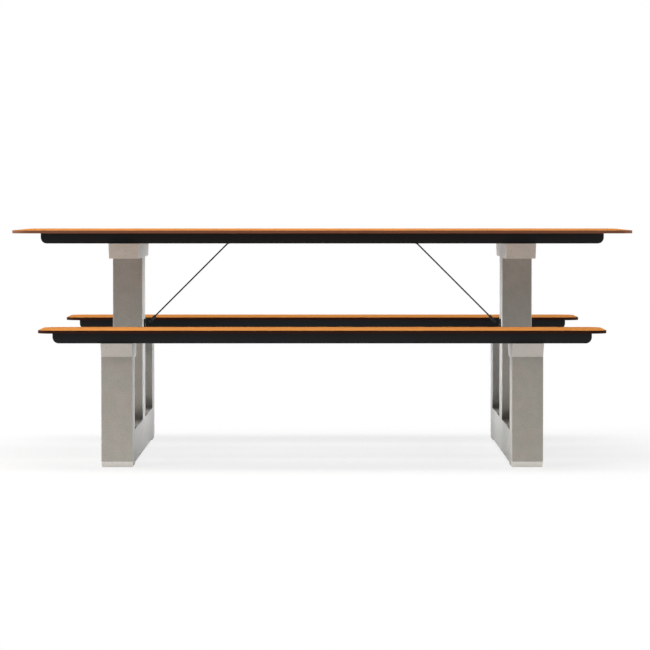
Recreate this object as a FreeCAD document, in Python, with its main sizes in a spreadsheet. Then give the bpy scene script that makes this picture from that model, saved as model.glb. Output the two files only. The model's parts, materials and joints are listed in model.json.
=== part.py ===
import FreeCAD, Part
import os
import Sketcher
from FreeCAD import Placement, Rotation, Vector

# Table with integrated benches. Millimetres, +X along the table, -Y to the front, +Z up.
# The origin is on the floor under the middle of the table.

driving_sizes = [
    # Panels
    ("table_height", 754),
    ("table_length", 2042),
    ("table_depth", 760),
    ("table_corner", 60),
    ("bench_height", 440),
    ("bench_length", 1809),
    ("bench_depth", 311),
    ("bench_corner", 50),
    ("bench_spacing", 1200),
    ("panel_thickness", 10),
    ("panel_edge", 1.5),
    # Steel frames under the panels
    ("table_rail_length", 1858),
    ("table_rail_height", 34),
    ("table_rail_spread", 600),
    ("bench_rail_length", 1714),
    ("bench_rail_height", 32),
    ("bench_rail_spread", 250),
    ("rail_wall", 5),
    ("rail_flange", 40),
    ("rail_corner", 20),
    ("channel_width", 80),
    ("channel_wall", 5),
    ("bar_width", 40),
    ("bar_thickness", 5),
    ("end_bar_inset", 24),
    # Cast leg frames
    ("leg_width", 100),
    ("leg_gap", 1210),
    ("bench_post_offset", 92),
    ("end_post_depth", 132),
    ("centre_post_depth", 160),
    ("beam_top", 114.5),
    ("beam_rise", 5.5),
    ("foot_depth", 140),
    ("foot_slope", 19),
    ("table_head_depth", 640),
    ("table_head_height", 50),
    ("table_head_slope", 28),
    ("bench_head_depth", 289),
    ("bench_head_height", 52),
    ("bench_head_flare", 44),
    ("bench_head_slope", 40),
    ("casting_edge", 1.5),
    # Bolts that hold the frames down on the heads
    ("table_bolt_spread", 400),
    ("bench_bolt_spread", 140),
    ("bolt_diameter", 10),
    ("bolt_head_across", 16),
    ("bolt_head_height", 6.4),
    ("bolt_reach", 28),
    ("washer_diameter", 20),
    ("washer_thickness", 2),
    ("insert_diameter", 16),
    ("insert_length", 34),
    # Screws that hold the panels
    ("screw_line", 26),
    ("screw_end_inset", 60),
    ("screw_leg_inset", 80),
    ("screw_diameter", 5),
    ("screw_head_diameter", 10),
    ("screw_head_height", 3.2),
    ("screw_reach", 6.5),
    ("screw_tip_gap", 0.5),
    # Tie rods
    ("rod_diameter", 5),
    ("rod_top_spread", 602.5),
    ("rod_pin_height", 442.5),
    ("rod_pin_reach", 20),
    ("rod_pin_drop", 13),
    ("rod_sleeve_diameter", 9),
    ("rod_sleeve_length", 18),
    ("rod_eye_width", 12),
    ("rod_eye_thickness", 5),
    ("rod_eye_run", 9),
    ("pin_diameter", 6),
    ("pin_head_diameter", 9),
    ("pin_head_height", 2.5),
    ("pin_tail", 3),
    ("ear_thickness", 4),
    ("ear_radius", 8),
    ("bracket_width", 40),
    ("bracket_height", 60),
    ("bracket_plate", 5),
    ("hanger_plate", 4),
    ("bracket_bolt_drop", 22),
    ("bracket_bolt_pitch", 20),
    ("bracket_bolt_diameter", 8),
    ("bracket_bolt_across", 13),
    ("bracket_bolt_head_height", 5.3),
    ("bracket_bolt_reach", 24),
    ("bracket_insert_diameter", 14),
    ("bracket_insert_length", 32),
    # Radial clearance of bolts, pins and cast-in sleeves
    ("fit_gap", 0.2),
]

doc = FreeCAD.newDocument("bench_table")
sheet = doc.addObject("Spreadsheet::Sheet", "sizes")
for row, (alias, number) in enumerate(driving_sizes, start=1):
    sheet.set("A%d" % row, alias)
    sheet.set("B%d" % row, str(number))
    sheet.setAlias("B%d" % row, alias)
doc.recompute()

# Levels and lines that several pieces share
table_under = "(sizes.table_height - sizes.panel_thickness)"
table_seat = "(%s - sizes.table_rail_height)" % table_under
bench_under = "(sizes.bench_height - sizes.panel_thickness)"
bench_seat = "(%s - sizes.bench_rail_height)" % bench_under
bench_line = "(sizes.bench_spacing / 2)"
leg_inner = "(sizes.leg_gap / 2)"
leg_middle = "(%s + sizes.leg_width / 2)" % leg_inner

front, rear = -1, 1
left, right = -1, 1
side_words = {left: "left", right: "right"}
row_words = {front: "front", rear: "rear"}
nodes = []


def value(rule):
    return float(sheet.evalExpression(rule))


def bind(thing, rules):
    for name, rule in rules.items():
        thing.setExpression(name, rule)


def place(thing, x="0", y="0", z="0", axis=Vector(0, 0, 1), angle=0):
    thing.Placement = Placement(Vector(), Rotation(axis, angle))
    bind(thing, {"Placement.Base.x": x, "Placement.Base.y": y, "Placement.Base.z": z})


def keep(thing, label):
    thing.Label = label
    nodes.append(thing)


def signed(sign, rule):
    return "%d * (%s)" % (sign, rule)


# Sketches

def sketch_on(body, name, role, lift="0"):
    sketch = body.newObject("Sketcher::SketchObject", name)
    plane = next(item for item in body.Origin.OriginFeatures if item.Role == role)
    sketch.AttachmentSupport = [(plane, "")]
    sketch.MapMode = "FlatFace"
    bind(sketch, {"AttachmentOffset.Base.z": lift})
    return sketch


def pin_point(sketch, shape, point, across, up):
    for kind, rule in (("DistanceX", across), ("DistanceY", up)):
        index = sketch.addConstraint(Sketcher.Constraint(kind, -1, 1, shape, point, value(rule)))
        sketch.setExpression("Constraints[%d]" % index, rule)


def outline(sketch, corners):
    points = [Vector(value(across), value(up), 0) for across, up in corners]
    count = len(points)
    for index in range(count):
        sketch.addGeometry(Part.LineSegment(points[index], points[(index + 1) % count]))
    for index, (across, up) in enumerate(corners):
        sketch.addConstraint(Sketcher.Constraint("Coincident", index, 2, (index + 1) % count, 1))
        pin_point(sketch, index, 1, across, up)


def rectangle(sketch, low_across, high_across, low_up, high_up):
    outline(sketch, [(low_across, low_up), (high_across, low_up),
                     (high_across, high_up), (low_across, high_up)])


def centred_rectangle(sketch, wide, tall):
    rectangle(sketch, "-(%s) / 2" % wide, "(%s) / 2" % wide, "-(%s) / 2" % tall, "(%s) / 2" % tall)


def circles(sketch, centres, diameter):
    for index, (across, up) in enumerate(centres):
        middle = Vector(value(across), value(up), 0)
        sketch.addGeometry(Part.Circle(middle, Vector(0, 0, 1), value(diameter) / 2))
        pin_point(sketch, index, 3, across, up)
        size = sketch.addConstraint(Sketcher.Constraint("Diameter", index, value(diameter)))
        sketch.setExpression("Constraints[%d]" % size, diameter)


# Features

def pad(body, sketch, name, length, both_ways=False):
    feature = body.newObject("PartDesign::Pad", name)
    feature.Profile = sketch
    feature.SideType = "Symmetric" if both_ways else "One side"
    bind(feature, {"Length": length})
    return feature


def drill(body, sketch, name, depth):
    before = body.Shape.Volume
    feature = body.newObject("PartDesign::Pocket", name)
    feature.Profile = sketch
    feature.Reversed = True
    bind(feature, {"Length": depth})
    doc.recompute()
    if body.Shape.Volume >= before:
        raise RuntimeError("%s cuts nothing" % name)


def edge_names(feature, wanted):
    return ["Edge%d" % number for number, edge in enumerate(feature.Shape.Edges, start=1) if wanted(edge)]


def runs_along(edge, axis):
    return abs(abs((edge.Vertexes[-1].Point - edge.Vertexes[0].Point).normalize().dot(axis)) - 1) < 1e-6


def face_names(feature, normal):
    names = []
    for number, face in enumerate(feature.Shape.Faces, start=1):
        if abs(face.normalAt(0, 0).dot(normal)) > 0.999:
            names.append("Face%d" % number)
    return names


def end_faces(feature, axis):
    # The two outermost faces square to an axis
    reach = max(abs(vertex.Point.dot(axis)) for vertex in feature.Shape.Vertexes)
    names = []
    for number, face in enumerate(feature.Shape.Faces, start=1):
        flat = abs(face.normalAt(0, 0).dot(axis)) > 0.999
        if flat and abs(abs(face.CenterOfMass.dot(axis)) - reach) < 1e-6:
            names.append("Face%d" % number)
    return names


def soften(body, kind, name, base, names, size):
    feature = body.newObject(kind, name)
    feature.Base = (base, names)
    bind(feature, {"Radius" if kind.endswith("Fillet") else "Size": size})
    doc.recompute()
    return feature


# Panels: thin boards with rounded corners, eased edges and blind screw holes from below

def screw_places(rail_length, rail_spread):
    outer = "%s / 2 - sizes.screw_end_inset" % rail_length
    inner = "%s - sizes.screw_leg_inset" % leg_inner
    across = [outer, inner, "(%s) / 3" % inner]
    line = "%s / 2 - sizes.screw_line" % rail_spread
    return [(signed(side, run), signed(row, line))
            for side in (left, right) for run in across for row in (front, rear)]


def make_panel(label, length, depth, corner, rail_length, rail_spread, y, z):
    body = doc.addObject("PartDesign::Body", label)
    plan = sketch_on(body, label + "_plan", "XY_Plane")
    centred_rectangle(plan, length, depth)
    board = pad(body, plan, label + "_board", "sizes.panel_thickness")
    doc.recompute()
    upright = edge_names(board, lambda edge: runs_along(edge, Vector(0, 0, 1)))
    rounded = soften(body, "PartDesign::Fillet", label + "_corners", board, upright, corner)
    broad = face_names(rounded, Vector(0, 0, 1))
    soften(body, "PartDesign::Fillet", label + "_edges", rounded, broad, "sizes.panel_edge")
    holes = sketch_on(body, label + "_screw_plan", "XY_Plane")
    circles(holes, screw_places(rail_length, rail_spread), "sizes.screw_diameter + 2 * sizes.fit_gap")
    drill(body, holes, label + "_screw_holes", "sizes.screw_reach + sizes.screw_tip_gap")
    place(body, y=y, z=z)
    keep(body, label)


make_panel("table_top", "sizes.table_length", "sizes.table_depth", "sizes.table_corner",
           "sizes.table_rail_length", "sizes.table_rail_spread", "0", table_under)
for row in (front, rear):
    make_panel("%s_bench_top" % row_words[row], "sizes.bench_length", "sizes.bench_depth",
               "sizes.bench_corner", "sizes.bench_rail_length", "sizes.bench_rail_spread",
               signed(row, bench_line), bench_under)


# Rails: angles with an upright wall outside and a flange inwards under the panel.
# The wall's lower corners are rounded. Local Y is 0 at the outer face and grows inwards.

def make_rail(label, length, height, spread, row, y, z):
    body = doc.addObject("PartDesign::Body", label)
    section = sketch_on(body, label + "_section", "YZ_Plane")
    outline(section, [("0", "0"), ("sizes.rail_wall", "0"),
                      ("sizes.rail_wall", "%s - sizes.rail_wall" % height),
                      ("sizes.rail_flange", "%s - sizes.rail_wall" % height),
                      ("sizes.rail_flange", height), ("0", height)])
    angle = pad(body, section, label + "_angle", length, both_ways=True)
    doc.recompute()
    low = edge_names(angle, lambda edge: runs_along(edge, Vector(0, 1, 0)) and edge.CenterOfMass.z < 1e-6)
    soften(body, "PartDesign::Fillet", label + "_corners", angle, low, "sizes.rail_corner")
    holes = sketch_on(body, label + "_screw_plan", "XY_Plane", "%s - sizes.rail_wall" % height)
    runs = [across for across, line in screw_places(length, spread)][::2]
    circles(holes, [(across, "sizes.screw_line") for across in runs],
            "sizes.screw_diameter + 2 * sizes.fit_gap")
    drill(body, holes, label + "_screw_holes", "sizes.rail_wall")
    place(body, y="%s + %s" % (y, signed(row, "%s / 2" % spread)), z=z, angle=0 if row == front else 180)
    keep(body, label)


for row in (front, rear):
    make_rail("table_%s_rail" % row_words[row], "sizes.table_rail_length", "sizes.table_rail_height",
              "sizes.table_rail_spread", row, "0", table_seat)
for bench in (front, rear):
    for row in (front, rear):
        make_rail("%s_bench_%s_rail" % (row_words[bench], row_words[row]), "sizes.bench_rail_length",
                  "sizes.bench_rail_height", "sizes.bench_rail_spread", row,
                  signed(bench, bench_line), bench_seat)


# Channels: open upwards, bolted down on each head between the rails, under their flanges

def make_channel(label, height, spread, bolt_spread, x, y, z):
    body = doc.addObject("PartDesign::Body", label)
    section = sketch_on(body, label + "_section", "XZ_Plane")
    half = "sizes.channel_width / 2"
    inside = "(%s - sizes.channel_wall)" % half
    rim = "%s - sizes.rail_wall" % height
    outline(section, [("-%s" % half, "0"), (half, "0"), (half, rim), (inside, rim),
                      (inside, "sizes.channel_wall"), ("-%s" % inside, "sizes.channel_wall"),
                      ("-%s" % inside, rim), ("-%s" % half, rim)])
    pad(body, section, label + "_run", "%s - 2 * sizes.rail_wall" % spread, both_ways=True)
    doc.recompute()
    holes = sketch_on(body, label + "_bolt_plan", "XY_Plane")
    circles(holes, [("0", signed(row, "%s / 2" % bolt_spread)) for row in (front, rear)],
            "sizes.bolt_diameter + 2 * sizes.fit_gap")
    drill(body, holes, label + "_bolt_holes", "sizes.channel_wall")
    place(body, x=x, y=y, z=z)
    keep(body, label)


for side in (left, right):
    make_channel("table_%s_channel" % side_words[side], "sizes.table_rail_height",
                 "sizes.table_rail_spread", "sizes.table_bolt_spread",
                 signed(side, leg_middle), "0", table_seat)
    for row in (front, rear):
        make_channel("%s_bench_%s_channel" % (row_words[row], side_words[side]),
                     "sizes.bench_rail_height", "sizes.bench_rail_spread", "sizes.bench_bolt_spread",
                     signed(side, leg_middle), signed(row, bench_line), bench_seat)


# Flat bars: welded between the rail flanges, flush under the panel

def make_bar(label, spread, x, y, under):
    bar = doc.addObject("Part::Box", label)
    run = "(%s - 2 * sizes.rail_flange)" % spread
    bind(bar, {"Length": "sizes.bar_width", "Width": run, "Height": "sizes.bar_thickness"})
    place(bar, x="%s - sizes.bar_width / 2" % x, y="%s - %s / 2" % (y, run),
          z="%s - sizes.bar_thickness" % under)
    keep(bar, label)


def end_bar_line(length):
    return "%s / 2 - sizes.end_bar_inset - sizes.bar_width / 2" % length


for side in (left, right):
    make_bar("table_%s_end_bar" % side_words[side], "sizes.table_rail_spread",
             signed(side, end_bar_line("sizes.table_rail_length")), "0", table_under)
    make_bar("table_%s_rod_bar" % side_words[side], "sizes.table_rail_spread",
             signed(side, "sizes.rod_top_spread / 2"), "0", table_under)
    for row in (front, rear):
        make_bar("%s_bench_%s_end_bar" % (row_words[row], side_words[side]), "sizes.bench_rail_spread",
                 signed(side, end_bar_line("sizes.bench_rail_length")), signed(row, bench_line),
                 bench_under)


# Leg frames: one casting each, a ground beam with two feet, two bench posts and a table post.
# Each post ends in a wider head with sloping ends, and the feet's outer ends slope under at the floor.
# Local +X faces the middle of the table.

def leg_outline():
    leg_face = "(%s + sizes.bench_post_offset)" % bench_line
    foot_end = "%s - sizes.foot_depth" % leg_face
    flare_low = "%s - sizes.bench_head_flare" % bench_seat
    bench_low = "%s - sizes.bench_head_height" % bench_seat
    table_low = "%s - sizes.table_head_height" % table_seat
    bench_head_end = "(%s + sizes.bench_head_flare)" % leg_face
    bench_back = "%s - sizes.bench_head_depth" % bench_head_end
    post_back = "%s - sizes.end_post_depth" % leg_face
    half = [(foot_end, "sizes.beam_rise"), (foot_end, "0"), ("%s - sizes.foot_slope" % leg_face, "0"),
            (leg_face, "sizes.foot_slope"), (leg_face, flare_low), (bench_head_end, bench_seat),
            (bench_back, bench_seat), ("%s + sizes.bench_head_slope" % bench_back, bench_low),
            (post_back, bench_low), (post_back, "sizes.beam_top"),
            ("sizes.centre_post_depth / 2", "sizes.beam_top"), ("sizes.centre_post_depth / 2", table_low),
            ("sizes.table_head_depth / 2 - sizes.table_head_slope", table_low),
            ("sizes.table_head_depth / 2", table_seat)]
    return half + [(signed(front, across), up) for across, up in reversed(half)]


def bore(body, name, diameter, length, x, y, z, axis=Vector(0, 0, 1), angle=0):
    before = body.Shape.Volume
    hole = body.newObject("PartDesign::SubtractiveCylinder", name)
    bind(hole, {"Radius": "%s / 2 + sizes.fit_gap" % diameter, "Height": length})
    place(hole, x, y, z, axis, angle)
    doc.recompute()
    if body.Shape.Volume >= before:
        raise RuntimeError("%s cuts nothing" % name)


def head_bolt_lines():
    lines = [(signed(row, "sizes.table_bolt_spread / 2"), table_seat) for row in (front, rear)]
    for bench in (front, rear):
        for row in (front, rear):
            line = "%s + %s" % (signed(bench, bench_line), signed(row, "sizes.bench_bolt_spread / 2"))
            lines.append((line, bench_seat))
    return lines


upper_bolt_level = "sizes.rod_pin_height - sizes.bracket_bolt_drop"
bracket_bolt_levels = [upper_bolt_level, upper_bolt_level + " - sizes.bracket_bolt_pitch"]


def make_leg_frame(label, side):
    body = doc.addObject("PartDesign::Body", label)
    profile = sketch_on(body, label + "_profile", "YZ_Plane")
    outline(profile, leg_outline())
    casting = pad(body, profile, label + "_casting", "sizes.leg_width", both_ways=True)
    doc.recompute()
    soften(body, "PartDesign::Chamfer", label + "_edges", casting,
           end_faces(casting, Vector(1, 0, 0)), "sizes.casting_edge")
    for number, (line, seat) in enumerate(head_bolt_lines(), start=1):
        bore(body, "%s_insert_%d" % (label, number), "sizes.insert_diameter", "sizes.insert_length",
             "0", line, "%s - sizes.insert_length" % seat)
    for number, level in enumerate(bracket_bolt_levels, start=1):
        bore(body, "%s_bracket_%d" % (label, number), "sizes.bracket_insert_diameter",
             "sizes.bracket_insert_length", "sizes.leg_width / 2 - sizes.bracket_insert_length",
             "0", level, Vector(0, 1, 0), 90)
    place(body, x=signed(side, leg_middle), angle=0 if side == left else 180)
    keep(body, label)


for side in (left, right):
    make_leg_frame("%s_leg_frame" % side_words[side], side)


# Tie rods: from an eye at the table post up to an eye under the table, in the plane Y = 0

rod_rise = "(%s - sizes.bar_thickness - sizes.rod_pin_drop - sizes.rod_pin_height)" % table_under
rod_run = "(%s - sizes.rod_pin_reach - sizes.rod_top_spread / 2)" % leg_inner
rod_length = "hypot(%s; %s)" % (rod_run, rod_rise)
pin_bore = "(sizes.pin_diameter / 2 + sizes.fit_gap)"
ear_gap = "(sizes.rod_eye_thickness + 2 * sizes.fit_gap)"
ear_reach = "(%s / 2 + sizes.ear_thickness)" % ear_gap
along_x = (Vector(0, 1, 0), 90)
along_y = (Vector(1, 0, 0), -90)


def make_box(name, length, width, height, x="0", y="0", z="0"):
    box = doc.addObject("Part::Box", name)
    bind(box, {"Length": length, "Width": width, "Height": height})
    place(box, x, y, z)
    return box


def make_cylinder(name, radius, height, x="0", y="0", z="0", turn=(Vector(0, 0, 1), 0)):
    cylinder = doc.addObject("Part::Cylinder", name)
    bind(cylinder, {"Radius": radius, "Height": height})
    place(cylinder, x, y, z, *turn)
    return cylinder


def join(name, shapes):
    joined = doc.addObject("Part::MultiFuse", name)
    joined.Shapes = shapes
    joined.Refine = True
    return joined


def cut(name, base, tools):
    result = doc.addObject("Part::Cut", name)
    result.Base = base
    result.Tool = tools[0] if len(tools) == 1 else join(name + "_holes", tools)
    return result


def make_rod(label, side):
    sleeve_end = "(sizes.rod_eye_run + sizes.rod_sleeve_length)"
    pieces = [make_cylinder(label + "_bar", "sizes.rod_diameter / 2",
                            "%s - 2 * sizes.rod_eye_run" % rod_length, z="sizes.rod_eye_run")]
    holes = []
    for end, level in (("low", "0"), ("high", rod_length)):
        sleeve = "sizes.rod_eye_run" if end == "low" else "%s - %s" % (rod_length, sleeve_end)
        tongue = "0" if end == "low" else "%s - sizes.rod_eye_run" % rod_length
        pieces.append(make_cylinder("%s_%s_sleeve" % (label, end), "sizes.rod_sleeve_diameter / 2",
                                    "sizes.rod_sleeve_length", z=sleeve))
        pieces.append(make_box("%s_%s_tongue" % (label, end), "sizes.rod_eye_width",
                               "sizes.rod_eye_thickness", "sizes.rod_eye_run",
                               "-sizes.rod_eye_width / 2", "-sizes.rod_eye_thickness / 2", tongue))
        pieces.append(make_cylinder("%s_%s_eye" % (label, end), "sizes.rod_eye_width / 2",
                                    "sizes.rod_eye_thickness", y="-sizes.rod_eye_thickness / 2",
                                    z=level, turn=along_y))
        holes.append(make_cylinder("%s_%s_pin_hole" % (label, end), pin_bore,
                                   "2 * sizes.rod_eye_thickness", y="-sizes.rod_eye_thickness",
                                   z=level, turn=along_y))
    rod = cut(label, join(label + "_forged", pieces), holes)
    place(rod, x=signed(side, "%s - sizes.rod_pin_reach" % leg_inner), z="sizes.rod_pin_height",
          axis=Vector(0, -side, 0), angle=45)
    bind(rod, {"Placement.Rotation.Angle": "atan2(%s; %s)" % (rod_run, rod_rise)})
    keep(rod, label)


def make_ears(label, pin_x, pin_z, root_x, root_z):
    # Two cheeks with round ends at the pin, each reaching back to its plate
    cheeks = []
    width = "abs(%s - (%s)) + 2 * sizes.ear_radius * %d" % (pin_x, root_x, int(root_x == pin_x))
    height = "abs(%s - (%s)) + 2 * sizes.ear_radius * %d" % (pin_z, root_z, int(root_z == pin_z))
    low_x = "min(%s; %s) - sizes.ear_radius * %d" % (pin_x, root_x, int(root_x == pin_x))
    low_z = "min(%s; %s) - sizes.ear_radius * %d" % (pin_z, root_z, int(root_z == pin_z))
    for row in (front, rear):
        near = "%s / 2" % ear_gap if row == rear else "-%s" % ear_reach
        name = "%s_%s_ear" % (label, row_words[row])
        cheeks.append(make_box(name, width, "sizes.ear_thickness", height, low_x, near, low_z))
        cheeks.append(make_cylinder(name + "_end", "sizes.ear_radius", "sizes.ear_thickness",
                                    pin_x, near, pin_z, along_y))
    hole = make_cylinder(label + "_pin_hole", pin_bore, "2 * %s" % ear_reach, pin_x,
                         "-%s" % ear_reach, pin_z, along_y)
    return cheeks, hole


# The bracket's local X is 0 on the post's face and grows towards the middle of the table
def make_post_bracket(label, side):
    plate = make_box(label + "_plate", "sizes.bracket_plate", "sizes.bracket_width",
                     "sizes.bracket_height", y="-sizes.bracket_width / 2",
                     z="sizes.ear_radius - sizes.bracket_height")
    cheeks, hole = make_ears(label, "sizes.rod_pin_reach", "0", "0", "0")
    holes = [hole]
    for number, level in enumerate(bracket_bolt_levels, start=1):
        holes.append(make_cylinder("%s_bolt_hole_%d" % (label, number),
                                   "sizes.bracket_bolt_diameter / 2 + sizes.fit_gap",
                                   "sizes.bracket_plate", z="%s - sizes.rod_pin_height" % level,
                                   turn=along_x))
    bracket = cut(label, join(label + "_welded", [plate] + cheeks), holes)
    place(bracket, x=signed(side, leg_inner), z="sizes.rod_pin_height", angle=0 if side == left else 180)
    keep(bracket, label)


# The hanger's local Z is 0 at the pin and its plate lies against the flat bar above
def make_rod_hanger(label, side):
    top = "sizes.rod_pin_drop"
    plate = make_box(label + "_plate", "sizes.bar_width", "sizes.bracket_width", "sizes.hanger_plate",
                     "-sizes.bar_width / 2", "-sizes.bracket_width / 2", "%s - sizes.hanger_plate" % top)
    cheeks, hole = make_ears(label, "0", "0", "0", top)
    hanger = cut(label, join(label + "_welded", [plate] + cheeks), [hole])
    place(hanger, x=signed(side, "sizes.rod_top_spread / 2"), z="sizes.rod_pin_height + %s" % rod_rise)
    keep(hanger, label)


for side in (left, right):
    make_rod("%s_tie_rod" % side_words[side], side)
    make_post_bracket("%s_rod_bracket" % side_words[side], side)
    make_rod_hanger("%s_rod_hanger" % side_words[side], side)


# One of each fastener, standing on its seat at local Z = 0

def make_hex_bolt(name, diameter, across, head_height, length):
    head = doc.addObject("Part::Prism", name + "_head")
    head.Polygon = 6
    bind(head, {"Circumradius": "%s / sqrt(3)" % across, "Height": head_height})
    shank = make_cylinder(name + "_shank", "%s / 2" % diameter, length, z="-(%s)" % length)
    return join(name, [head, shank])


def make_screw(name, diameter, head_diameter, head_height, length):
    head = make_cylinder(name + "_head", "%s / 2" % head_diameter, head_height, z="-(%s)" % head_height)
    shank = make_cylinder(name + "_shank", "%s / 2" % diameter, length)
    return join(name, [head, shank])


def make_sleeve(name, outer, inner, length):
    body = make_cylinder(name + "_wall", "%s / 2" % outer, length)
    hole = make_cylinder(name + "_bore", "%s / 2 + sizes.fit_gap" % inner, length)
    return cut(name, body, [hole])


frame_bolt = make_hex_bolt("frame_bolt", "sizes.bolt_diameter", "sizes.bolt_head_across",
                           "sizes.bolt_head_height",
                           "(sizes.washer_thickness + sizes.channel_wall + sizes.bolt_reach)")
frame_washer = make_sleeve("frame_washer", "sizes.washer_diameter", "sizes.bolt_diameter",
                           "sizes.washer_thickness")
frame_insert = make_sleeve("frame_insert", "sizes.insert_diameter", "sizes.bolt_diameter",
                           "sizes.insert_length")
panel_screw = make_screw("panel_screw", "sizes.screw_diameter", "sizes.screw_head_diameter",
                         "sizes.screw_head_height", "(sizes.rail_wall + sizes.screw_reach)")
bracket_bolt = make_hex_bolt("bracket_bolt", "sizes.bracket_bolt_diameter", "sizes.bracket_bolt_across",
                             "sizes.bracket_bolt_head_height",
                             "(sizes.bracket_plate + sizes.bracket_bolt_reach)")
bracket_insert = make_sleeve("bracket_insert", "sizes.bracket_insert_diameter",
                             "sizes.bracket_bolt_diameter", "sizes.bracket_insert_length")
rod_pin = make_screw("rod_pin", "sizes.pin_diameter", "sizes.pin_head_diameter",
                     "sizes.pin_head_height", "(2 * %s + sizes.pin_tail)" % ear_reach)
doc.recompute()


# Groups of alike fasteners, each copy a separate solid

def group(label, single, spots, turns=None):
    copies = []
    for index, (x, y, z) in enumerate(spots):
        copy = single.Shape.copy()
        turn = turns[index] if turns else Rotation()
        copy.Placement = Placement(Vector(value(x), value(y), value(z)), turn)
        copies.append(copy)
    feature = doc.addObject("Part::Feature", label)
    feature.Shape = Part.makeCompound(copies)
    feature.Placement = Placement()
    keep(feature, label)


def head_spots(seat, raised):
    return [(signed(side, leg_middle), line, "%s + %s" % (seat, raised))
            for side in (left, right) for line, level in head_bolt_lines() if level == seat]


for word, seat in (("table", table_seat), ("bench", bench_seat)):
    group("%s_frame_inserts" % word, frame_insert, head_spots(seat, "-sizes.insert_length"))
    group("%s_frame_washers" % word, frame_washer, head_spots(seat, "sizes.channel_wall"))
    group("%s_frame_bolts" % word, frame_bolt,
          head_spots(seat, "sizes.channel_wall + sizes.washer_thickness"))

group("table_top_screws", panel_screw,
      [(x, y, "%s - sizes.rail_wall" % table_under)
       for x, y in screw_places("sizes.table_rail_length", "sizes.table_rail_spread")])
for row in (front, rear):
    group("%s_bench_top_screws" % row_words[row], panel_screw,
          [(x, "%s + %s" % (signed(row, bench_line), y), "%s - sizes.rail_wall" % bench_under)
           for x, y in screw_places("sizes.bench_rail_length", "sizes.bench_rail_spread")])

inward = {left: Rotation(Vector(0, 1, 0), 90), right: Rotation(Vector(0, 1, 0), -90)}
bracket_spots = [(side, level) for side in (left, right) for level in bracket_bolt_levels]
group("rod_bracket_bolts", bracket_bolt,
      [(signed(side, "%s - sizes.bracket_plate" % leg_inner), "0", level) for side, level in bracket_spots],
      [inward[side] for side, level in bracket_spots])
group("rod_bracket_inserts", bracket_insert,
      [(signed(side, "%s + sizes.bracket_insert_length" % leg_inner), "0", level)
       for side, level in bracket_spots],
      [inward[side] for side, level in bracket_spots])

pin_spots = []
for side in (left, right):
    pin_spots.append((signed(side, "%s - sizes.rod_pin_reach" % leg_inner), "-%s" % ear_reach,
                      "sizes.rod_pin_height"))
    pin_spots.append((signed(side, "sizes.rod_top_spread / 2"), "-%s" % ear_reach,
                      "sizes.rod_pin_height + %s" % rod_rise))
group("rod_pins", rod_pin, pin_spots, [Rotation(Vector(1, 0, 0), -90)] * len(pin_spots))

# Tests, then one file for each piece
doc.recompute()
for thing in doc.Objects:
    if "Invalid" in thing.State or "Error" in thing.State:
        raise RuntimeError("%s failed: %s" % (thing.Label, thing.State))
for thing in nodes:
    if thing.Shape.isNull() or not thing.Shape.isValid() or not thing.Shape.Solids:
        raise RuntimeError("%s has no valid solid" % thing.Label)
os.makedirs("parts", exist_ok=True)
for thing in nodes:
    thing.Shape.exportStep("parts/%s.step" % thing.Label)
    print(thing.Label, len(thing.Shape.Solids), round(thing.Shape.Volume))
print(len(nodes), "nodes")
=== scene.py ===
import json
import math
import bpy
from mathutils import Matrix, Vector


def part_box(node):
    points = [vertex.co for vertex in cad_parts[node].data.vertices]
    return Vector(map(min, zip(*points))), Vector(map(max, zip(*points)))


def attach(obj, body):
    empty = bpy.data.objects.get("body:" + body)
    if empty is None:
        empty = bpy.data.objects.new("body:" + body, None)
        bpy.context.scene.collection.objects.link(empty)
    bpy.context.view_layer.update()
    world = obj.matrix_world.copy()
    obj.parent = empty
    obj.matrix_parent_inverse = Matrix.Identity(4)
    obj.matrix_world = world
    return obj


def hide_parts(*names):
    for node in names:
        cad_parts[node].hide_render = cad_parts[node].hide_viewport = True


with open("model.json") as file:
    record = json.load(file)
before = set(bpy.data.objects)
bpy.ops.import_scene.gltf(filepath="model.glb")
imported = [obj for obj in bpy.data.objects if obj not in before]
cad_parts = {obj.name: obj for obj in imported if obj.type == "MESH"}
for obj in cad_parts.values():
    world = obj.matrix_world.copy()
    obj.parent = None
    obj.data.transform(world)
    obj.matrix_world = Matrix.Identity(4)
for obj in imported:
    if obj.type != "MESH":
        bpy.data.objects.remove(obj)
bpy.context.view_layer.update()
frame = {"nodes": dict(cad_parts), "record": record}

nodes = frame["nodes"]
scene = bpy.context.scene
scene.view_settings.view_transform = "Standard"
print("frame loaded:", len(nodes), "nodes")


# Shader maths as plain expressions

class Value:
    def __init__(self, finish, socket):
        self.finish = finish
        self.socket = socket

    def maths(self, operation, first, second):
        return self.finish.add("ShaderNodeMath", {"operation": operation}, {0: first, 1: second})

    def __add__(self, other):
        return self.maths("ADD", self, other)

    def __radd__(self, other):
        return self.maths("ADD", other, self)

    def __sub__(self, other):
        return self.maths("SUBTRACT", self, other)

    def __rsub__(self, other):
        return self.maths("SUBTRACT", other, self)

    def __mul__(self, other):
        return self.maths("MULTIPLY", self, other)

    def __rmul__(self, other):
        return self.maths("MULTIPLY", other, self)

    def __pow__(self, other):
        return self.maths("POWER", self, other)


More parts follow.
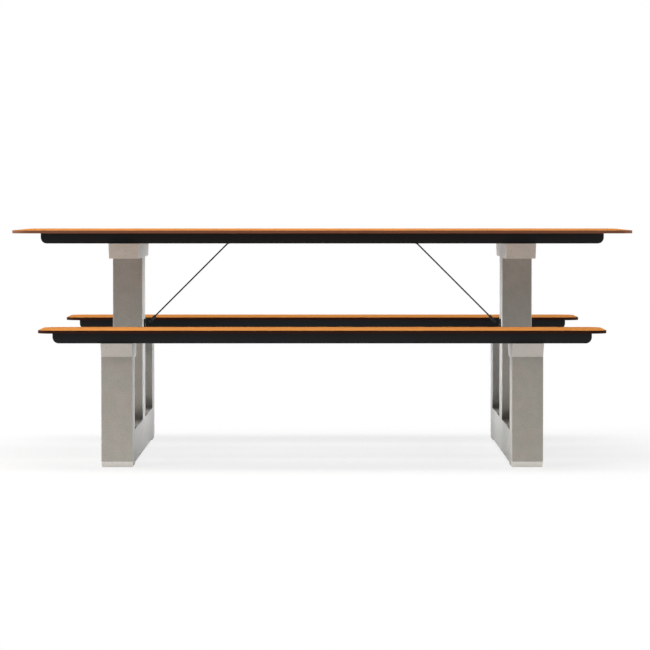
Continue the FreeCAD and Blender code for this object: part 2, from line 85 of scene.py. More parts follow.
class Finish:
    def __init__(self, tree):
        self.nodes = tree.nodes
        self.links = tree.links

    def feed(self, socket, value):
        if isinstance(value, Value):
            self.links.new(value.socket, socket)
        else:
            socket.default_value = value

    def add(self, kind, settings=None, sockets=None, output=0):
        node = self.nodes.new(kind)
        for name, setting in (settings or {}).items():
            if name == "stops":
                self.setStops(node.color_ramp.elements, setting)
            else:
                setattr(node, name, setting)
        for name, value in (sockets or {}).items():
            self.feed(node.inputs[name], value)
        return Value(self, node.outputs[output])

    def setStops(self, elements, stops):
        while len(elements) < len(stops):
            elements.new(1.0)
        for element, (place, colour) in zip(elements, stops):
            element.position = place
            element.color = (*colour, 1.0)

    def places(self, shift=(0, 0, 0), stretch=(1, 1, 1)):
        here = self.add("ShaderNodeTexCoord", output="Object")
        return self.add("ShaderNodeMapping", None, {"Vector": here, "Location": shift, "Scale": stretch})

    def noise(self, where, scale, detail=2.0, roughness=0.5, distortion=0.0):
        return self.add("ShaderNodeTexNoise", None,
                        {"Vector": where, "Scale": scale, "Detail": detail, "Roughness": roughness,
                         "Distortion": distortion}, "Fac")

    def ease(self, value, low, high, toLow=0.0, toHigh=1.0):
        return self.add("ShaderNodeMapRange", {"interpolation_type": "SMOOTHSTEP"},
                        {"Value": value, "From Min": low, "From Max": high,
                         "To Min": toLow, "To Max": toHigh})

    def blend(self, share, first, second, mode="MIX"):
        # a Mix node's colour sockets are 6 and 7, and its colour result is output 2
        return self.add("ShaderNodeMix", {"data_type": "RGBA", "blend_type": mode},
                        {0: share, 6: self.opaque(first), 7: self.opaque(second)}, 2)

    def opaque(self, colour):
        return colour if isinstance(colour, Value) else (*colour, 1.0)

    def arris(self, radius, low=0.02, high=0.25):
        # 0 on flat faces, rising to 1 along the edges of the piece
        soft = self.add("ShaderNodeBevel", {"samples": 6}, {"Radius": radius})
        flat = self.add("ShaderNodeNewGeometry", output="Normal")
        agree = self.add("ShaderNodeVectorMath", {"operation": "DOT_PRODUCT"},
                         {0: soft, 1: flat}, "Value")
        return self.ease(1 - agree, low, high)

    def bump(self, height, strength, distance):
        return self.add("ShaderNodeBump", None,
                        {"Height": height, "Strength": strength, "Distance": distance})


def newFinish(name, **sockets):
    material = bpy.data.materials.new(name)
    material.use_nodes = True
    finish = Finish(material.node_tree)
    surface = finish.nodes["Principled BSDF"]
    for socket, value in sockets.items():
        surface.inputs[socket.replace("_", " ")].default_value = value
    return material, finish, surface.inputs


def dress(piece, material):
    piece.data.materials.clear()
    piece.data.materials.append(material)


# Camera, at the photograph's place: focal length and pitch are known in its pixels

photoCamera = {"place": (0.009, -11.452, 0.8535), "focalPixels": 3379, "imagePixels": 650,
               "pitchPixels": 125, "sensorWidth": 36.0, "clipEnd": 100}


def addCamera(look):
    pitch = math.atan(look["pitchPixels"] / look["focalPixels"])
    bpy.ops.object.camera_add(location=look["place"], rotation=(math.pi / 2 - pitch, 0, 0))
    camera = bpy.context.object
    camera.name = "photoCamera"
    camera.data.sensor_width = look["sensorWidth"]
    camera.data.lens = look["sensorWidth"] * look["focalPixels"] / look["imagePixels"]
    camera.data.clip_end = look["clipEnd"]
    scene.camera = camera


addCamera(photoCamera)
print("camera placed")


# Floor, world and lamps

floorLook = {"size": 18.0, "level": -0.0004, "grey": 0.95, "roughness": 0.9,
             "footprint": (1.0, 0.75), "fade": 0.7, "shadowShare": 0.20,
             "bounceTint": (1.0, 0.995, 0.985), "farBounce": 0.50,
             "bounceZones": [{"half": (4.0, 0.85), "fade": 0.4, "level": 0.88},
                             {"half": (1.0, 0.55), "fade": 0.2, "level": 0.02}]}
worldLook = {"light": 0.02, "tint": (1.0, 0.99, 0.97)}
softboxes = {
    "overheadSoftbox": {"place": (-0.3, 0.1, 4.2), "aim": (-0.3, 0.1, 0), "width": 5.0, "height": 2.6,
                        "watts": 195, "tint": (1.0, 0.985, 0.96)},
    "leftSoftbox": {"place": (-8.0, 1.0, 0.7), "aim": (0, 0.2, 0.45), "width": 3.4, "height": 1.3,
                    "watts": 380, "tint": (0.90, 0.93, 1.0)},
    "rightSoftbox": {"place": (8.0, 1.0, 0.7), "aim": (0, 0.2, 0.45), "width": 3.4, "height": 1.3,
                     "watts": 360, "tint": (0.90, 0.93, 1.0)},
    "leftFill": {"place": (0.55, 0.06, 0.22), "aim": (-1, 0.06, 0.37), "width": 1.16, "height": 0.28,
                 "spread": 70, "watts": 2.35, "tint": (0.83, 0.91, 1.0)},
    "rightFill": {"place": (-0.55, 0.06, 0.22), "aim": (1, 0.06, 0.37), "width": 1.16, "height": 0.28,
                  "spread": 70, "watts": 2.3, "tint": (0.83, 0.91, 1.0)},
    "frontSoftbox": {"place": (-4.5, -3.6, 2.7), "aim": (0, -0.3, 0.4), "width": 2.4, "height": 1.6,
                     "watts": 64, "tint": (1.0, 0.95, 0.87)},
    "frontTopSoftbox": {"place": (-3.2, -3.6, 4.8), "aim": (0, -0.3, 0.4), "width": 2.4, "height": 1.6,
                        "watts": 86, "tint": (1.0, 0.95, 0.87)},
}


def seenRays(finish):
    # 1 for what is seen, straight or in a reflection, and 0 for light on the object
    rays = finish.nodes.new("ShaderNodeLightPath")
    names = ("Is Camera Ray", "Is Glossy Ray", "Is Transmission Ray")
    camera, glossy, transmission = [Value(finish, rays.outputs[name]) for name in names]
    return camera.maths("MAXIMUM", camera.maths("MAXIMUM", camera, glossy), transmission)


def beyond(finish, halfSizes):
    # how far a point of the floor lies outside a rectangle about the middle
    parts = finish.nodes.new("ShaderNodeSeparateXYZ")
    finish.feed(parts.inputs[0], finish.places())
    out = []
    for axis, half in zip("XY", halfSizes):
        place = Value(finish, parts.outputs[axis])
        out.append(place.maths("ABSOLUTE", place, 0.0) - half)
    return out[0].maths("MAXIMUM", out[0], out[1])


def addFloor(look):
    bpy.ops.object.select_all(action="DESELECT")
    bpy.ops.mesh.primitive_plane_add(size=look["size"], location=(0, 0, look["level"]))
    floor = bpy.context.object
    floor.name = "paleFloor"
    material, finish, surface = newFinish("paleFloorPaint", Roughness=look["roughness"],
                                          Specular_IOR_Level=0.0)
    surface["Base Color"].default_value = (look["grey"], look["grey"], look["grey"], 1)
    # the camera sees a faint shadow, and the object gets the bounce of a pale floor, less from under it
    outside = beyond(finish, look["footprint"])
    away = finish.ease(outside, 0.0, look["fade"], 1 - look["shadowShare"], 1.0)
    white = finish.add("ShaderNodeEmission", None, {"Color": (1, 1, 1, 1), "Strength": 1.0})
    painted = Value(finish, finish.nodes["Principled BSDF"].outputs[0])
    shown = finish.add("ShaderNodeMixShader", None, {0: away, 1: painted, 2: white})
    tint = (*look["bounceTint"], 1)
    bounce = finish.add("ShaderNodeEmission", None, {"Color": tint, "Strength": look["farBounce"]})
    for zone in look["bounceZones"]:
        glow = finish.add("ShaderNodeEmission", None, {"Color": tint, "Strength": zone["level"]})
        fading = finish.ease(beyond(finish, zone["half"]), 0.0, zone["fade"])
        bounce = finish.add("ShaderNodeMixShader", None, {0: fading, 1: glow, 2: bounce})
    upper = finish.add("ShaderNodeMixShader", None, {0: seenRays(finish), 1: bounce, 2: shown})
    # from below, the floor lets the underside of the table be seen
    below = finish.add("ShaderNodeNewGeometry", output="Backfacing")
    clear = finish.add("ShaderNodeBsdfTransparent")
    mixed = finish.add("ShaderNodeMixShader", None, {0: below, 1: upper, 2: clear})
    finish.feed(finish.nodes["Material Output"].inputs["Surface"], mixed)
    dress(floor, material)


def setWorld(look):
    world = bpy.data.worlds.new("studioWorld")
    world.use_nodes = True
    scene.world = world
    finish = Finish(world.node_tree)
    light = finish.add("ShaderNodeBackground", None,
                       {"Color": (*look["tint"], 1), "Strength": look["light"]})
    white = finish.add("ShaderNodeBackground", None, {"Color": (1, 1, 1, 1), "Strength": 1.0})
    mixed = finish.add("ShaderNodeMixShader", None, {0: seenRays(finish), 1: light, 2: white})
    finish.feed(finish.nodes["World Output"].inputs["Surface"], mixed)


def addSoftbox(name, look):
    place = Vector(look["place"])
    facing = (Vector(look["aim"]) - place).to_track_quat("-Z", "Y")
    bpy.ops.object.light_add(type="AREA", location=place, rotation=facing.to_euler())
    lamp = bpy.context.object
    lamp.name = name
    lamp.data.shape = "RECTANGLE"
    lamp.data.size = look["width"]
    lamp.data.size_y = look["height"]
    lamp.data.energy = look["watts"]
    lamp.data.color = look["tint"]
    lamp.data.spread = math.radians(look.get("spread", 180))
    lamp.visible_camera = False
    lamp.visible_glossy = False


addFloor(floorLook)
setWorld(worldLook)
for lampName, lampLook in softboxes.items():
    addSoftbox(lampName, lampLook)
print("floor, world and lamps set")


# Boards: wood-grain laminate on a dark core that shows along the edges

# the core tone is lighter on the table than on the benches: painted light and shade along the board edges
boardLooks = {
    "table_top": {"shift": (0.37, 0.11, 0.0), "core": (0.35, 0.155, 0.098)},
    "front_bench_top": {"shift": (1.91, 0.63, 0.0), "core": (0.064, 0.027, 0.019)},
    "rear_bench_top": {"shift": (-2.43, 0.29, 0.0), "core": (0.064, 0.027, 0.019)},
}
laminate = {"dark": (0.44, 0.155, 0.036), "middle": (0.60, 0.235, 0.058), "light": (0.70, 0.30, 0.085),
            "pore": (0.26, 0.085, 0.022), "backing": (0.050, 0.040, 0.036),
            "decorDepth": 0.00005, "coreFrom": 0.00025, "coreShade": 0.72,
            "figureSpacing": 0.034, "figureSwirl": 5.5, "figureDrift": 4.0,
            "rings": 0.20, "fibres": 0.56, "drift": 0.34, "pores": 0.40, "roughness": 0.5}


def boardFinish(nodeName, look):
    material, finish, surface = newFinish("laminate_" + nodeName, Specular_IOR_Level=0.0)
    low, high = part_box(nodeName)
    shift = look["shift"]
    # flat-sawn figure: contour lines of a long slow noise, with thin fibres and pores over it
    slow = finish.noise(finish.places(shift, (0.20, 3.2, 3.2)), 1.5, 3.0, 0.5, 0.3)
    across = finish.add("ShaderNodeSeparateXYZ", None, {0: finish.places(shift)}, "Y")
    uneven = finish.noise(finish.places(shift, (0.05, 6.0, 6.0)), 1.0, 2.0)
    turns = across * (1 / laminate["figureSpacing"])
    turns = turns + slow * laminate["figureSwirl"] + uneven * laminate["figureDrift"]
    phase = turns * (2 * math.pi)
    rings = phase.maths("SINE", phase, 0.0) * 0.5 + 0.5
    fibres = finish.noise(finish.places(shift, (5, 380, 380)), 1.0, 4.0, 0.6)
    drift = finish.noise(finish.places(shift, (0.8, 2.6, 2.6)), 1.3, 2.0)
    pores = finish.ease(finish.noise(finish.places(shift, (26, 900, 900)), 1.0, 2.0), 0.60, 0.72)
    tone = rings ** 1.6 * laminate["rings"] + fibres * laminate["fibres"] + drift * laminate["drift"]
    stops = [(0.22, laminate["dark"]), (0.52, laminate["middle"]), (0.80, laminate["light"])]
    grain = finish.add("ShaderNodeValToRGB", {"stops": stops}, {"Fac": tone})
    face = finish.blend(pores * laminate["pores"], grain, laminate["pore"])
    # the core shows along the eased edge, and a dark backing sheet below
    level = finish.add("ShaderNodeSeparateXYZ", None, {0: finish.places()}, "Z")
    core = finish.ease(level, high.z - laminate["decorDepth"], high.z - laminate["coreFrom"])
    layers = finish.noise(finish.places(shift, (3, 3, 2600)), 1.0, 2.0, 0.6)
    darkCore = [share * laminate["coreShade"] for share in look["core"]]
    backing = finish.ease(level, low.z + laminate["coreFrom"], low.z + laminate["decorDepth"])
    edge = finish.blend(backing, finish.blend(layers, darkCore, look["core"]), laminate["backing"])
    finish.feed(surface["Base Color"], finish.blend(core, face, edge))
    finish.feed(surface["Roughness"], laminate["roughness"] + fibres * 0.14 + core * 0.12)
    relief = finish.bump(fibres * 0.5 + (1 - pores) * 0.5, 0.22, 0.0002)
    finish.feed(surface["Normal"], relief)
    return material


for boardName, boardLook in boardLooks.items():
    dress(nodes[boardName], boardFinish(boardName, boardLook))
print("boards finished")


# Steel frames: charcoal powder coat with a fine texture, a little worn along the edges

coat = {"deep": (0.010, 0.0105, 0.0118), "raised": (0.019, 0.020, 0.022), "worn": (0.060, 0.062, 0.066),
        "wornShare": 0.7, "roughness": 0.52, "edgeRadius": 0.0012}


def coatFinish():
    material, finish, surface = newFinish("charcoal_powder_coat", Specular_IOR_Level=0.22)
    where = finish.places()
    peel = finish.noise(where, 900.0, 2.0, 0.6)
    cloud = finish.noise(where, 7.0, 3.0, 0.55)
    breaks = finish.noise(where, 160.0, 4.0, 0.65)
    edge = finish.arris(coat["edgeRadius"]) * finish.ease(breaks, 0.42, 0.68)
    paint = finish.blend(peel * 0.6 + cloud * 0.4, coat["deep"], coat["raised"])
    finish.feed(surface["Base Color"], finish.blend(edge * coat["wornShare"], paint, coat["worn"]))
    finish.feed(surface["Roughness"], coat["roughness"] + cloud * 0.12 - edge * 0.12)
    finish.feed(surface["Normal"], finish.bump(peel, 0.18, 0.0002))
    return material


# Cast legs: fine mottled concrete with air holes and lighter arrises, with painted light on the undercut
# slopes and painted shade in the air holes and in the corners over the ground beam

concrete = {"base": (0.580, 0.548, 0.500), "warm": (0.615, 0.553, 0.512), "cool": (0.555, 0.550, 0.495),
            "hole": (0.16, 0.150, 0.135), "worn": (0.66, 0.645, 0.61), "roughness": 0.74,
            "tintShare": 0.55, "steady": 0.50, "cloud": 0.16, "mottle": 0.26, "speckle": 0.48, "sand": 0.10,
            "holeShare": 0.75, "wornShare": 0.20, "slopeLightShare": 0.90, "slopeShade": 0.6,
            "edgeRadius": 0.002}
# air holes of two sizes, each kept only in some cells, and darkened with painted shade in the pits
airHoleSizes = ({"scale": 62.0, "radius": 0.075, "keep": 0.66},
                {"scale": 150.0, "radius": 0.10, "keep": 0.62})
# tones of painted light on the undercut slopes by height: feet, bench heads, table heads
slopeLightTones = [(0.20, (0.95, 0.91, 0.85)), (0.30, (0.82, 0.77, 0.71)), (0.50, (0.82, 0.77, 0.71)),
              (0.60, (0.89, 0.96, 0.96))]
# painted shade in the corners between the posts and the top of the ground beam
cornerShade = {"beamTop": 0.1145, "postFaces": (0.080, 0.558), "reachUp": 0.085, "reachAlong": 0.38,
               "topLap": 0.003, "faceLap": (0.005, 0.002), "uneven": 0.35,
               "tone": (0.075, 0.068, 0.060), "share": 0.82}


def concreteFinish():
    material, finish, surface = newFinish("cast_concrete_grey", Specular_IOR_Level=0.2)
    where = finish.places((0.3, 1.7, 0.9))
    cloud = finish.noise(where, 3.2, 5.0, 0.6)
    mottle = finish.noise(where, 30.0, 4.0, 0.62)
    speckle = finish.noise(where, 240.0, 3.0, 0.7)
    sand = finish.noise(where, 1100.0, 2.0, 0.6)
    hue = finish.noise(finish.places((4.1, 0.2, 2.2)), 17.0, 3.0, 0.6)
    tinted = finish.blend(finish.ease(hue, 0.36, 0.64), concrete["cool"], concrete["warm"])
    body = finish.blend(concrete["tintShare"], concrete["base"], tinted)
    light = concrete["steady"] + cloud * concrete["cloud"] + mottle * concrete["mottle"]
    light = light + speckle * concrete["speckle"] + sand * concrete["sand"]
    shade = finish.add("ShaderNodeCombineColor", None, {0: light, 1: light, 2: light})
    body = finish.blend(1.0, body, shade, "MULTIPLY")
    # the undercut slopes of heads and feet get a paler tone by height: painted light
    facing = finish.add("ShaderNodeNewGeometry", output="Normal")
    downward = finish.add("ShaderNodeSeparateXYZ", None, {0: facing}, "Z") * -1.0
    undercut = finish.ease(downward, 0.15, 0.50) * finish.ease(downward, 0.98, 0.90)
    level = finish.add("ShaderNodeSeparateXYZ", None, {0: finish.places()}, "Z")
    slopeLight = finish.add("ShaderNodeValToRGB", {"stops": slopeLightTones}, {"Fac": level})
    slopeLight = finish.blend(concrete["slopeShade"], slopeLight, shade, "MULTIPLY")
    # painted light: the downward-facing slopes take the paler slope tone
    body = finish.blend(undercut * concrete["slopeLightShare"], body, slopeLight)
    # painted shade: darker towards the corners between the posts and the beam top
    body = finish.blend(cornerShadeMask(finish, mottle) * cornerShade["share"], body, cornerShade["tone"])
    large, small = [airHoles(finish, look) for look in airHoleSizes]
    holes = large + small
    holes = holes.maths("MINIMUM", holes, 1.0)
    edge = finish.arris(concrete["edgeRadius"]) * finish.ease(mottle, 0.35, 0.70)
    body = finish.blend(edge * concrete["wornShare"], body, concrete["worn"])
    # painted shade: the air holes take a dark tone
    finish.feed(surface["Base Color"], finish.blend(holes * concrete["holeShare"], body, concrete["hole"]))
    finish.feed(surface["Roughness"], concrete["roughness"] + speckle * 0.16)
    height = mottle * 0.25 + speckle * 0.35 + sand * 0.25 + (1 - holes) * 0.9
    finish.feed(surface["Normal"], finish.bump(height, 0.35, 0.0006))
    return material


# painted shade mask: 1 in the corners between posts and beam top, fading along the beam and up the posts
def cornerShadeMask(finish, mottle):
    across = finish.add("ShaderNodeSeparateXYZ", None, {0: finish.places()}, "Y")
    across = across.maths("ABSOLUTE", across, 0.0)
    inner, outer = cornerShade["postFaces"]
    aside = across.maths("MINIMUM", across - inner, outer - across)
    above = finish.add("ShaderNodeSeparateXYZ", None, {0: finish.places()}, "Z") - cornerShade["beamTop"]
    # only between the posts, from their faces on, and above the beam
    deep, shallow = cornerShade["faceLap"]
    between = finish.ease(aside, -deep, -shallow) * finish.ease(above, -cornerShade["topLap"], 0.0)
    along = aside.maths("MAXIMUM", aside, 0.0) * (1 / cornerShade["reachAlong"])
    far = along + above * (1 / cornerShade["reachUp"]) + (mottle - 0.5) * cornerShade["uneven"]
    fading = finish.ease(far, 1.0, 0.0)
    return between * fading * fading


def airHoles(finish, look):
    cell = finish.nodes.new("ShaderNodeTexVoronoi")
    cell.inputs["Scale"].default_value = look["scale"]
    finish.feed(cell.inputs["Vector"], finish.places((0.05, 0.4, 0.7)))
    middle = Value(finish, cell.outputs["Distance"])
    near = finish.ease(middle, look["radius"] * 1.3, look["radius"] * 0.7)
    lot = finish.add("ShaderNodeSeparateColor", None, {0: Value(finish, cell.outputs["Color"])}, 0)
    return near * finish.ease(lot, look["keep"], look["keep"] + 0.02)


# Rods and fasteners

rodPaint = {"deep": (0.012, 0.012, 0.013), "raised": (0.024, 0.024, 0.026), "roughness": 0.42}
zinc = {"deep": (0.40, 0.40, 0.405), "raised": (0.58, 0.58, 0.575), "roughness": 0.34}
blackZinc = {"deep": (0.030, 0.030, 0.032), "raised": (0.070, 0.070, 0.073), "roughness": 0.40}


def rodFinish():
    material, finish, surface = newFinish("rod_black_paint", Specular_IOR_Level=0.3)
    where = finish.places()
    fine = finish.noise(where, 520.0, 3.0, 0.6)
    finish.feed(surface["Base Color"], finish.blend(fine, rodPaint["deep"], rodPaint["raised"]))
    finish.feed(surface["Roughness"], rodPaint["roughness"] + fine * 0.14)
    finish.feed(surface["Normal"], finish.bump(fine, 0.12, 0.0002))
    return material


def zincFinish(name, look):
    material, finish, surface = newFinish(name, Metallic=1.0)
    where = finish.places()
    spangle = finish.noise(where, 320.0, 3.0, 0.65)
    smear = finish.noise(where, 60.0, 3.0, 0.6)
    finish.feed(surface["Base Color"],
                finish.blend(spangle * 0.6 + smear * 0.4, look["deep"], look["raised"]))
    finish.feed(surface["Roughness"], look["roughness"] + smear * 0.22)
    finish.feed(surface["Normal"], finish.bump(spangle, 0.10, 0.0002))
    return material


slotFinishes = {"frame_steel": coatFinish(), "cast_concrete": concreteFinish(), "rod_steel": rodFinish(),
                "fastener_steel": zincFinish("zinc_plated_steel", zinc)}
darkZinc = zincFinish("black_zinc_steel", blackZinc)
for subpart in frame["record"]["subparts"]:
    if subpart["material_slot"] in slotFinishes:
        dress(nodes[subpart["node"]], slotFinishes[subpart["material_slot"]])
print("steel, concrete, rods and fasteners finished")


# Modelling helpers: one model of each small piece, then copies joined into one piece

axisX, axisY, axisZ = range(3)
samePlace = 1e-6  # coordinates closer than this are taken as one
mergeReach = 0.00001


def startModel():
    bpy.ops.object.select_all(action="DESELECT")


def pick(model, kind, wanted):
    # edit mode with only the wanted faces, edges or vertices selected
    bpy.context.view_layer.objects.active = model
    bpy.ops.object.mode_set(mode="EDIT")
    bpy.ops.mesh.select_mode(type=kind)
    bpy.ops.mesh.select_all(action="DESELECT")
    bpy.ops.object.mode_set(mode="OBJECT")
    mesh = model.data
    parts = {"VERT": mesh.vertices, "EDGE": mesh.edges, "FACE": mesh.polygons}[kind]
    for part in parts:
        part.select = wanted(mesh, part)
    bpy.ops.object.mode_set(mode="EDIT")


def edgeEnds(mesh, edge):
    return [mesh.vertices[index].co for index in edge.vertices]


def edgesAt(axis, place):
    return lambda mesh, edge: all(abs(end[axis] - place) < samePlace for end in edgeEnds(mesh, edge))


def edgesAlong(axis, least):
    def wanted(mesh, edge):
        first, second = edgeEnds(mesh, edge)
        return abs(first[axis] - second[axis]) > least
    return wanted


def facesToward(axis, side):
    return lambda mesh, face: face.normal[axis] * side > 0.9


def leaveEdit():
    bpy.ops.object.mode_set(mode="OBJECT")


def carve(model, tool, operation):
    cutter = model.modifiers.new("carve", "BOOLEAN")
    cutter.operation = operation
    cutter.object = tool
    cutter.solver = "EXACT"
    startModel()
    model.select_set(True)
    bpy.context.view_layer.objects.active = model
    bpy.ops.object.modifier_apply(modifier=cutter.name)
    bpy.data.objects.remove(tool)


def copyOf(model, place, turn=(0, 0, 0)):
    piece = model.copy()
    piece.data = model.data.copy()
    piece.location = place
    piece.rotation_euler = turn
    scene.collection.objects.link(piece)
    return piece


def joinCopies(copies, name, material, smoothAngle=40):
    startModel()
    for piece in copies:
        piece.select_set(True)
    bpy.context.view_layer.objects.active = copies[0]
    bpy.ops.object.join()
    bpy.ops.object.transform_apply(location=True, rotation=True, scale=True)
    whole = bpy.context.object
    whole.name = name
    whole.data.name = name
    bpy.ops.object.shade_smooth_by_angle(angle=math.radians(smoothAngle))
    dress(whole, material)
    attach(whole, "root")
    return whole


def solidBoxes(nodeName):
    # lowest and highest corner of each separate solid in a node
    startModel()
    loose = copyOf(nodes[nodeName], (0, 0, 0))
    loose.select_set(True)
    bpy.context.view_layer.objects.active = loose
    bpy.ops.object.mode_set(mode="EDIT")
    bpy.ops.mesh.select_all(action="SELECT")
    bpy.ops.mesh.remove_doubles(threshold=mergeReach)
    bpy.ops.mesh.separate(type="LOOSE")
    leaveEdit()
    boxes = []
    for solid in list(bpy.context.selected_objects):
        corners = [Vector(corner) for corner in solid.bound_box]
        boxes.append((corners[0], corners[6]))
        bpy.data.objects.remove(solid)
    return sorted(boxes, key=lambda box: tuple(box[0]))


# Weld beads on the steel frames

bead = {"radius": 0.0022, "pitch": 0.0024, "sides": 10, "ripple": 1.16, "endShare": 0.55,
        "barShare": 0.88, "cornerShare": 0.8}


def modelBead(length):
    startModel()
    bpy.ops.mesh.primitive_cylinder_add(vertices=bead["sides"], radius=bead["radius"], depth=length,
                                        rotation=(0, math.pi / 2, 0))
    bpy.ops.object.transform_apply(rotation=True)
    model = bpy.context.object
    half = length / 2
    rings = max(3, 2 * round(half / bead["pitch"]) + 1)
    pick(model, "EDGE", edgesAlong(axisX, half))
    bpy.ops.mesh.subdivide(number_cuts=rings)
    step = length / (rings + 1)
    swell = bead["ripple"]
    pick(model, "VERT", lambda mesh, vertex: round((vertex.co.x + half) / step) % 2 == 1)
    bpy.ops.transform.resize(value=(1, swell, swell), center_override=(0, 0, 0))
    pick(model, "VERT", lambda mesh, vertex: abs(vertex.co.x) > half - step / 2)
    bpy.ops.transform.resize(value=(1, bead["endShare"], bead["endShare"]), center_override=(0, 0, 0))
    leaveEdit()
    return model


def frameWelds(prefix, name):
    copies = []
    # bars meet the flanges: a bead across each seam, underneath
    bars = [node for node in nodes if node.startswith(prefix + "_") and node.endswith("_bar")]
    low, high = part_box(bars[0])
    barBead = modelBead((high.x - low.x) * bead["barShare"])
    for bar in sorted(bars):
        low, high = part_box(bar)
        for y in (low.y, high.y):
            copies.append(copyOf(barBead, ((low.x + high.x) / 2, y, low.z)))
    # hanger plates sit under the rod bars: a bead along each edge
    for hanger in [node for node in nodes if node.endswith("_rod_hanger") and prefix == "table"]:
        low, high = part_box(hanger)
        for y in (low.y, high.y):
            copies.append(copyOf(barBead, ((low.x + high.x) / 2, y, high.z)))
    bpy.data.objects.remove(barBead)
    # channels meet the rail walls: an upright bead in each outer corner
    low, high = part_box(prefix + "_left_channel")
    cornerBead = modelBead((high.z - low.z) * bead["cornerShare"])
    for side in ("left", "right"):
        low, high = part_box("%s_%s_channel" % (prefix, side))
        for x in (low.x, high.x):
            for y in (low.y, high.y):
                copies.append(copyOf(cornerBead, (x, y, (low.z + high.z) / 2), (0, math.pi / 2, 0)))
    bpy.data.objects.remove(cornerBead)
    joinCopies(copies, name, slotFinishes["frame_steel"])


bracketEars = {"plate": 0.005, "reach": 0.0067, "radius": 0.008, "beadShare": 1.7}


def bracketWelds():
    # the ears stand on the bracket's plate: an upright bead outside each
    earBead = modelBead(bracketEars["radius"] * bracketEars["beadShare"])
    copies = []
    for side, inward in (("left", 1), ("right", -1)):
        low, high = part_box(side + "_rod_bracket")
        x = low.x + bracketEars["plate"] if inward > 0 else high.x - bracketEars["plate"]
        for y in (-bracketEars["reach"], bracketEars["reach"]):
            copies.append(copyOf(earBead, (x, y, high.z - bracketEars["radius"]), (0, math.pi / 2, 0)))
    bpy.data.objects.remove(earBead)
    joinCopies(copies, "rod_bracket_welds", slotFinishes["frame_steel"])


for framePrefix in ("table", "front_bench", "rear_bench"):
    frameWelds(framePrefix, framePrefix + "_frame_welds")
bracketWelds()
print("welds made")


# Panel screws: button heads with a hexagon socket

panelScrew = {"headRadius": 0.005, "headHeight": 0.0032, "dome": 0.0017, "shankRadius": 0.0025,
              "length": 0.0115, "socketAcross": 0.003, "socketDepth": 0.0017, "sides": 24, "domeSteps": 4}


def modelScrew(look):
    startModel()
    bottom = -look["headHeight"]
    bpy.ops.mesh.primitive_cylinder_add(vertices=look["sides"], radius=look["headRadius"],
                                        depth=look["headHeight"], location=(0, 0, bottom / 2))
    bpy.ops.object.transform_apply(location=True)
    model = bpy.context.object
    pick(model, "EDGE", edgesAt(axisZ, bottom))
    bpy.ops.mesh.bevel(offset=look["dome"], segments=look["domeSteps"], profile=0.5)
    pick(model, "FACE", facesToward(axisZ, 1))
    bpy.ops.mesh.inset(thickness=look["headRadius"] - look["shankRadius"])
    bpy.ops.mesh.extrude_region_move(TRANSFORM_OT_translate={"value": (0, 0, look["length"])})
    leaveEdit()
    startModel()
    bpy.ops.mesh.primitive_cylinder_add(vertices=6, radius=look["socketAcross"] / math.sqrt(3),
                                        depth=2 * look["socketDepth"], location=(0, 0, bottom))
    carve(model, bpy.context.object, "DIFFERENCE")
    return model


screwModel = modelScrew(panelScrew)
for screwNode in ("table_top_screws", "front_bench_top_screws", "rear_bench_top_screws"):
    screws = []
    for low, high in solidBoxes(screwNode):
        middle = (low + high) / 2
        screws.append(copyOf(screwModel, (middle.x, middle.y, low.z + panelScrew["headHeight"])))
    detailed = joinCopies(screws, screwNode + "_detailed", slotFinishes["fastener_steel"])
    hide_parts(screwNode)
bpy.data.objects.remove(screwModel)
print("screws made")


# Bracket bolts: hexagon heads with a chamfered crown, the head towards local +Z

bracketBolt = {"across": 0.013, "headHeight": 0.0053, "crown": 0.0011, "shankRadius": 0.004,
               "length": 0.029, "barSides": 48, "barReach": 1.2}


def modelHexBolt(look):
    corner = look["across"] / math.sqrt(3)
    startModel()
    bpy.ops.mesh.primitive_cylinder_add(vertices=6, radius=corner, depth=look["headHeight"],
                                        location=(0, 0, look["headHeight"] / 2))
    bpy.ops.object.transform_apply(location=True)
    model = bpy.context.object
    pick(model, "FACE", facesToward(axisZ, -1))
    bpy.ops.mesh.inset(thickness=look["across"] / 2 - look["shankRadius"])
    bpy.ops.mesh.extrude_region_move(TRANSFORM_OT_translate={"value": (0, 0, -look["length"])})
    leaveEdit()
    # the crown is turned: a round bar with a bevelled end keeps what it shares with the head
    startModel()
    reach = look["headHeight"] + look["length"] * look["barReach"]
    bpy.ops.mesh.primitive_cylinder_add(vertices=look["barSides"], radius=corner, depth=reach,
                                        location=(0, 0, look["headHeight"] - reach / 2))
    bpy.ops.object.transform_apply(location=True)
    bar = bpy.context.object
    pick(bar, "EDGE", edgesAt(axisZ, look["headHeight"]))
    bpy.ops.mesh.bevel(offset=look["crown"], segments=1)
    leaveEdit()
    carve(model, bar, "INTERSECT")
    return model


boltModel = modelHexBolt(bracketBolt)
bolts = []
for low, high in solidBoxes("rod_bracket_bolts"):
    inward = 1 if low.x < 0 else -1
    seat = (high.x - bracketBolt["headHeight"]) if inward > 0 else (low.x + bracketBolt["headHeight"])
    middle = (low + high) / 2
    bolts.append(copyOf(boltModel, (seat, middle.y, middle.z), (0, inward * math.pi / 2, 0)))
bpy.data.objects.remove(boltModel)
detailed = joinCopies(bolts, "rod_bracket_bolts_detailed", darkZinc)
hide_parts("rod_bracket_bolts")


# Rod pins: domed heads and a split pin through each tail, the head towards local -Y

rodPin = {"headRadius": 0.0045, "headHeight": 0.0025, "dome": 0.0012, "domeSteps": 3, "radius": 0.003,
          "tailBevel": 0.0006, "sides": 24}
splitPin = {"radius": 0.0007, "reach": 0.0105, "inset": 0.0015, "eyeRadius": 0.0014, "sides": 8,
            "legCuts": 3, "bend": (0.0016, 0, 0.0004), "eyeSteps": 16}


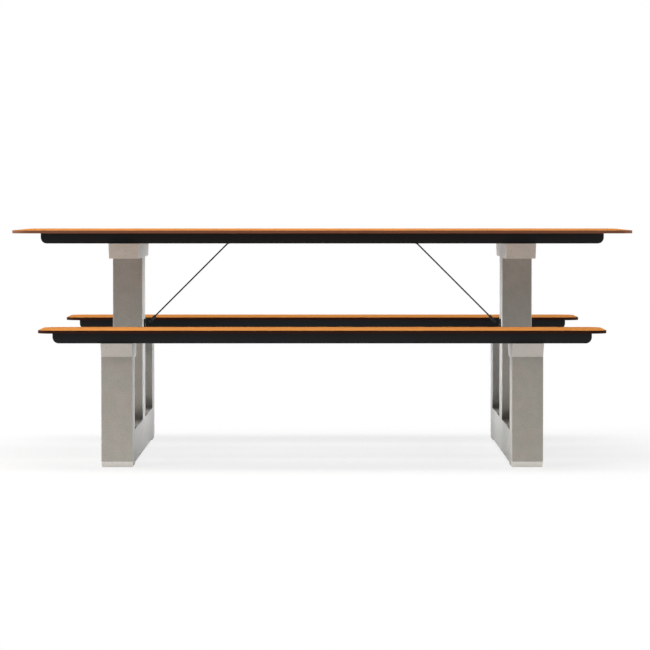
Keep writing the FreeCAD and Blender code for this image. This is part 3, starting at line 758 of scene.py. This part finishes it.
def modelPin(look, length):
    startModel()
    bpy.ops.mesh.primitive_cylinder_add(vertices=look["sides"], radius=look["headRadius"],
                                        depth=look["headHeight"], location=(0, look["headHeight"] / 2, 0),
                                        rotation=(math.pi / 2, 0, 0))
    bpy.ops.object.transform_apply(location=True, rotation=True)
    model = bpy.context.object
    pick(model, "EDGE", edgesAt(axisY, 0.0))
    bpy.ops.mesh.bevel(offset=look["dome"], segments=look["domeSteps"], profile=0.5)
    pick(model, "FACE", facesToward(axisY, 1))
    bpy.ops.mesh.inset(thickness=look["headRadius"] - look["radius"])
    shank = length - look["headHeight"]
    bpy.ops.mesh.extrude_region_move(TRANSFORM_OT_translate={"value": (0, shank, 0)})
    pick(model, "EDGE", edgesAt(axisY, length))
    bpy.ops.mesh.bevel(offset=look["tailBevel"], segments=1)
    leaveEdit()
    return model


def modelSplitPin(look, level):
    startModel()
    bpy.ops.mesh.primitive_cylinder_add(vertices=look["sides"], radius=look["radius"], depth=look["reach"],
                                        location=(0, level, 0))
    bpy.ops.object.transform_apply(location=True)
    leg = bpy.context.object
    low = -look["reach"] / 2
    pick(leg, "EDGE", edgesAlong(axisZ, look["reach"] / 2))
    bpy.ops.mesh.subdivide(number_cuts=look["legCuts"])
    pick(leg, "VERT", lambda mesh, vertex: vertex.co.z < low * 0.9)
    bpy.ops.transform.translate(value=look["bend"])
    leaveEdit()
    startModel()
    bpy.ops.mesh.primitive_torus_add(major_radius=look["eyeRadius"], minor_radius=look["radius"],
                                     major_segments=look["eyeSteps"], minor_segments=look["sides"],
                                     location=(0, level, -low + look["eyeRadius"]),
                                     rotation=(math.pi / 2, 0, 0))
    bpy.ops.object.transform_apply(location=True, rotation=True)
    return [leg, bpy.context.object]


pinBoxes = solidBoxes("rod_pins")
pinLength = pinBoxes[0][1].y - pinBoxes[0][0].y
pinModels = [modelPin(rodPin, pinLength)] + modelSplitPin(splitPin, pinLength - splitPin["inset"])
pins = []
for low, high in pinBoxes:
    middle = (low + high) / 2
    for model in pinModels:
        pins.append(copyOf(model, (middle.x, low.y, middle.z)))
for model in pinModels:
    bpy.data.objects.remove(model)
detailed = joinCopies(pins, "rod_pins_detailed", darkZinc)
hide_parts("rod_pins")
print("bolts and pins made")
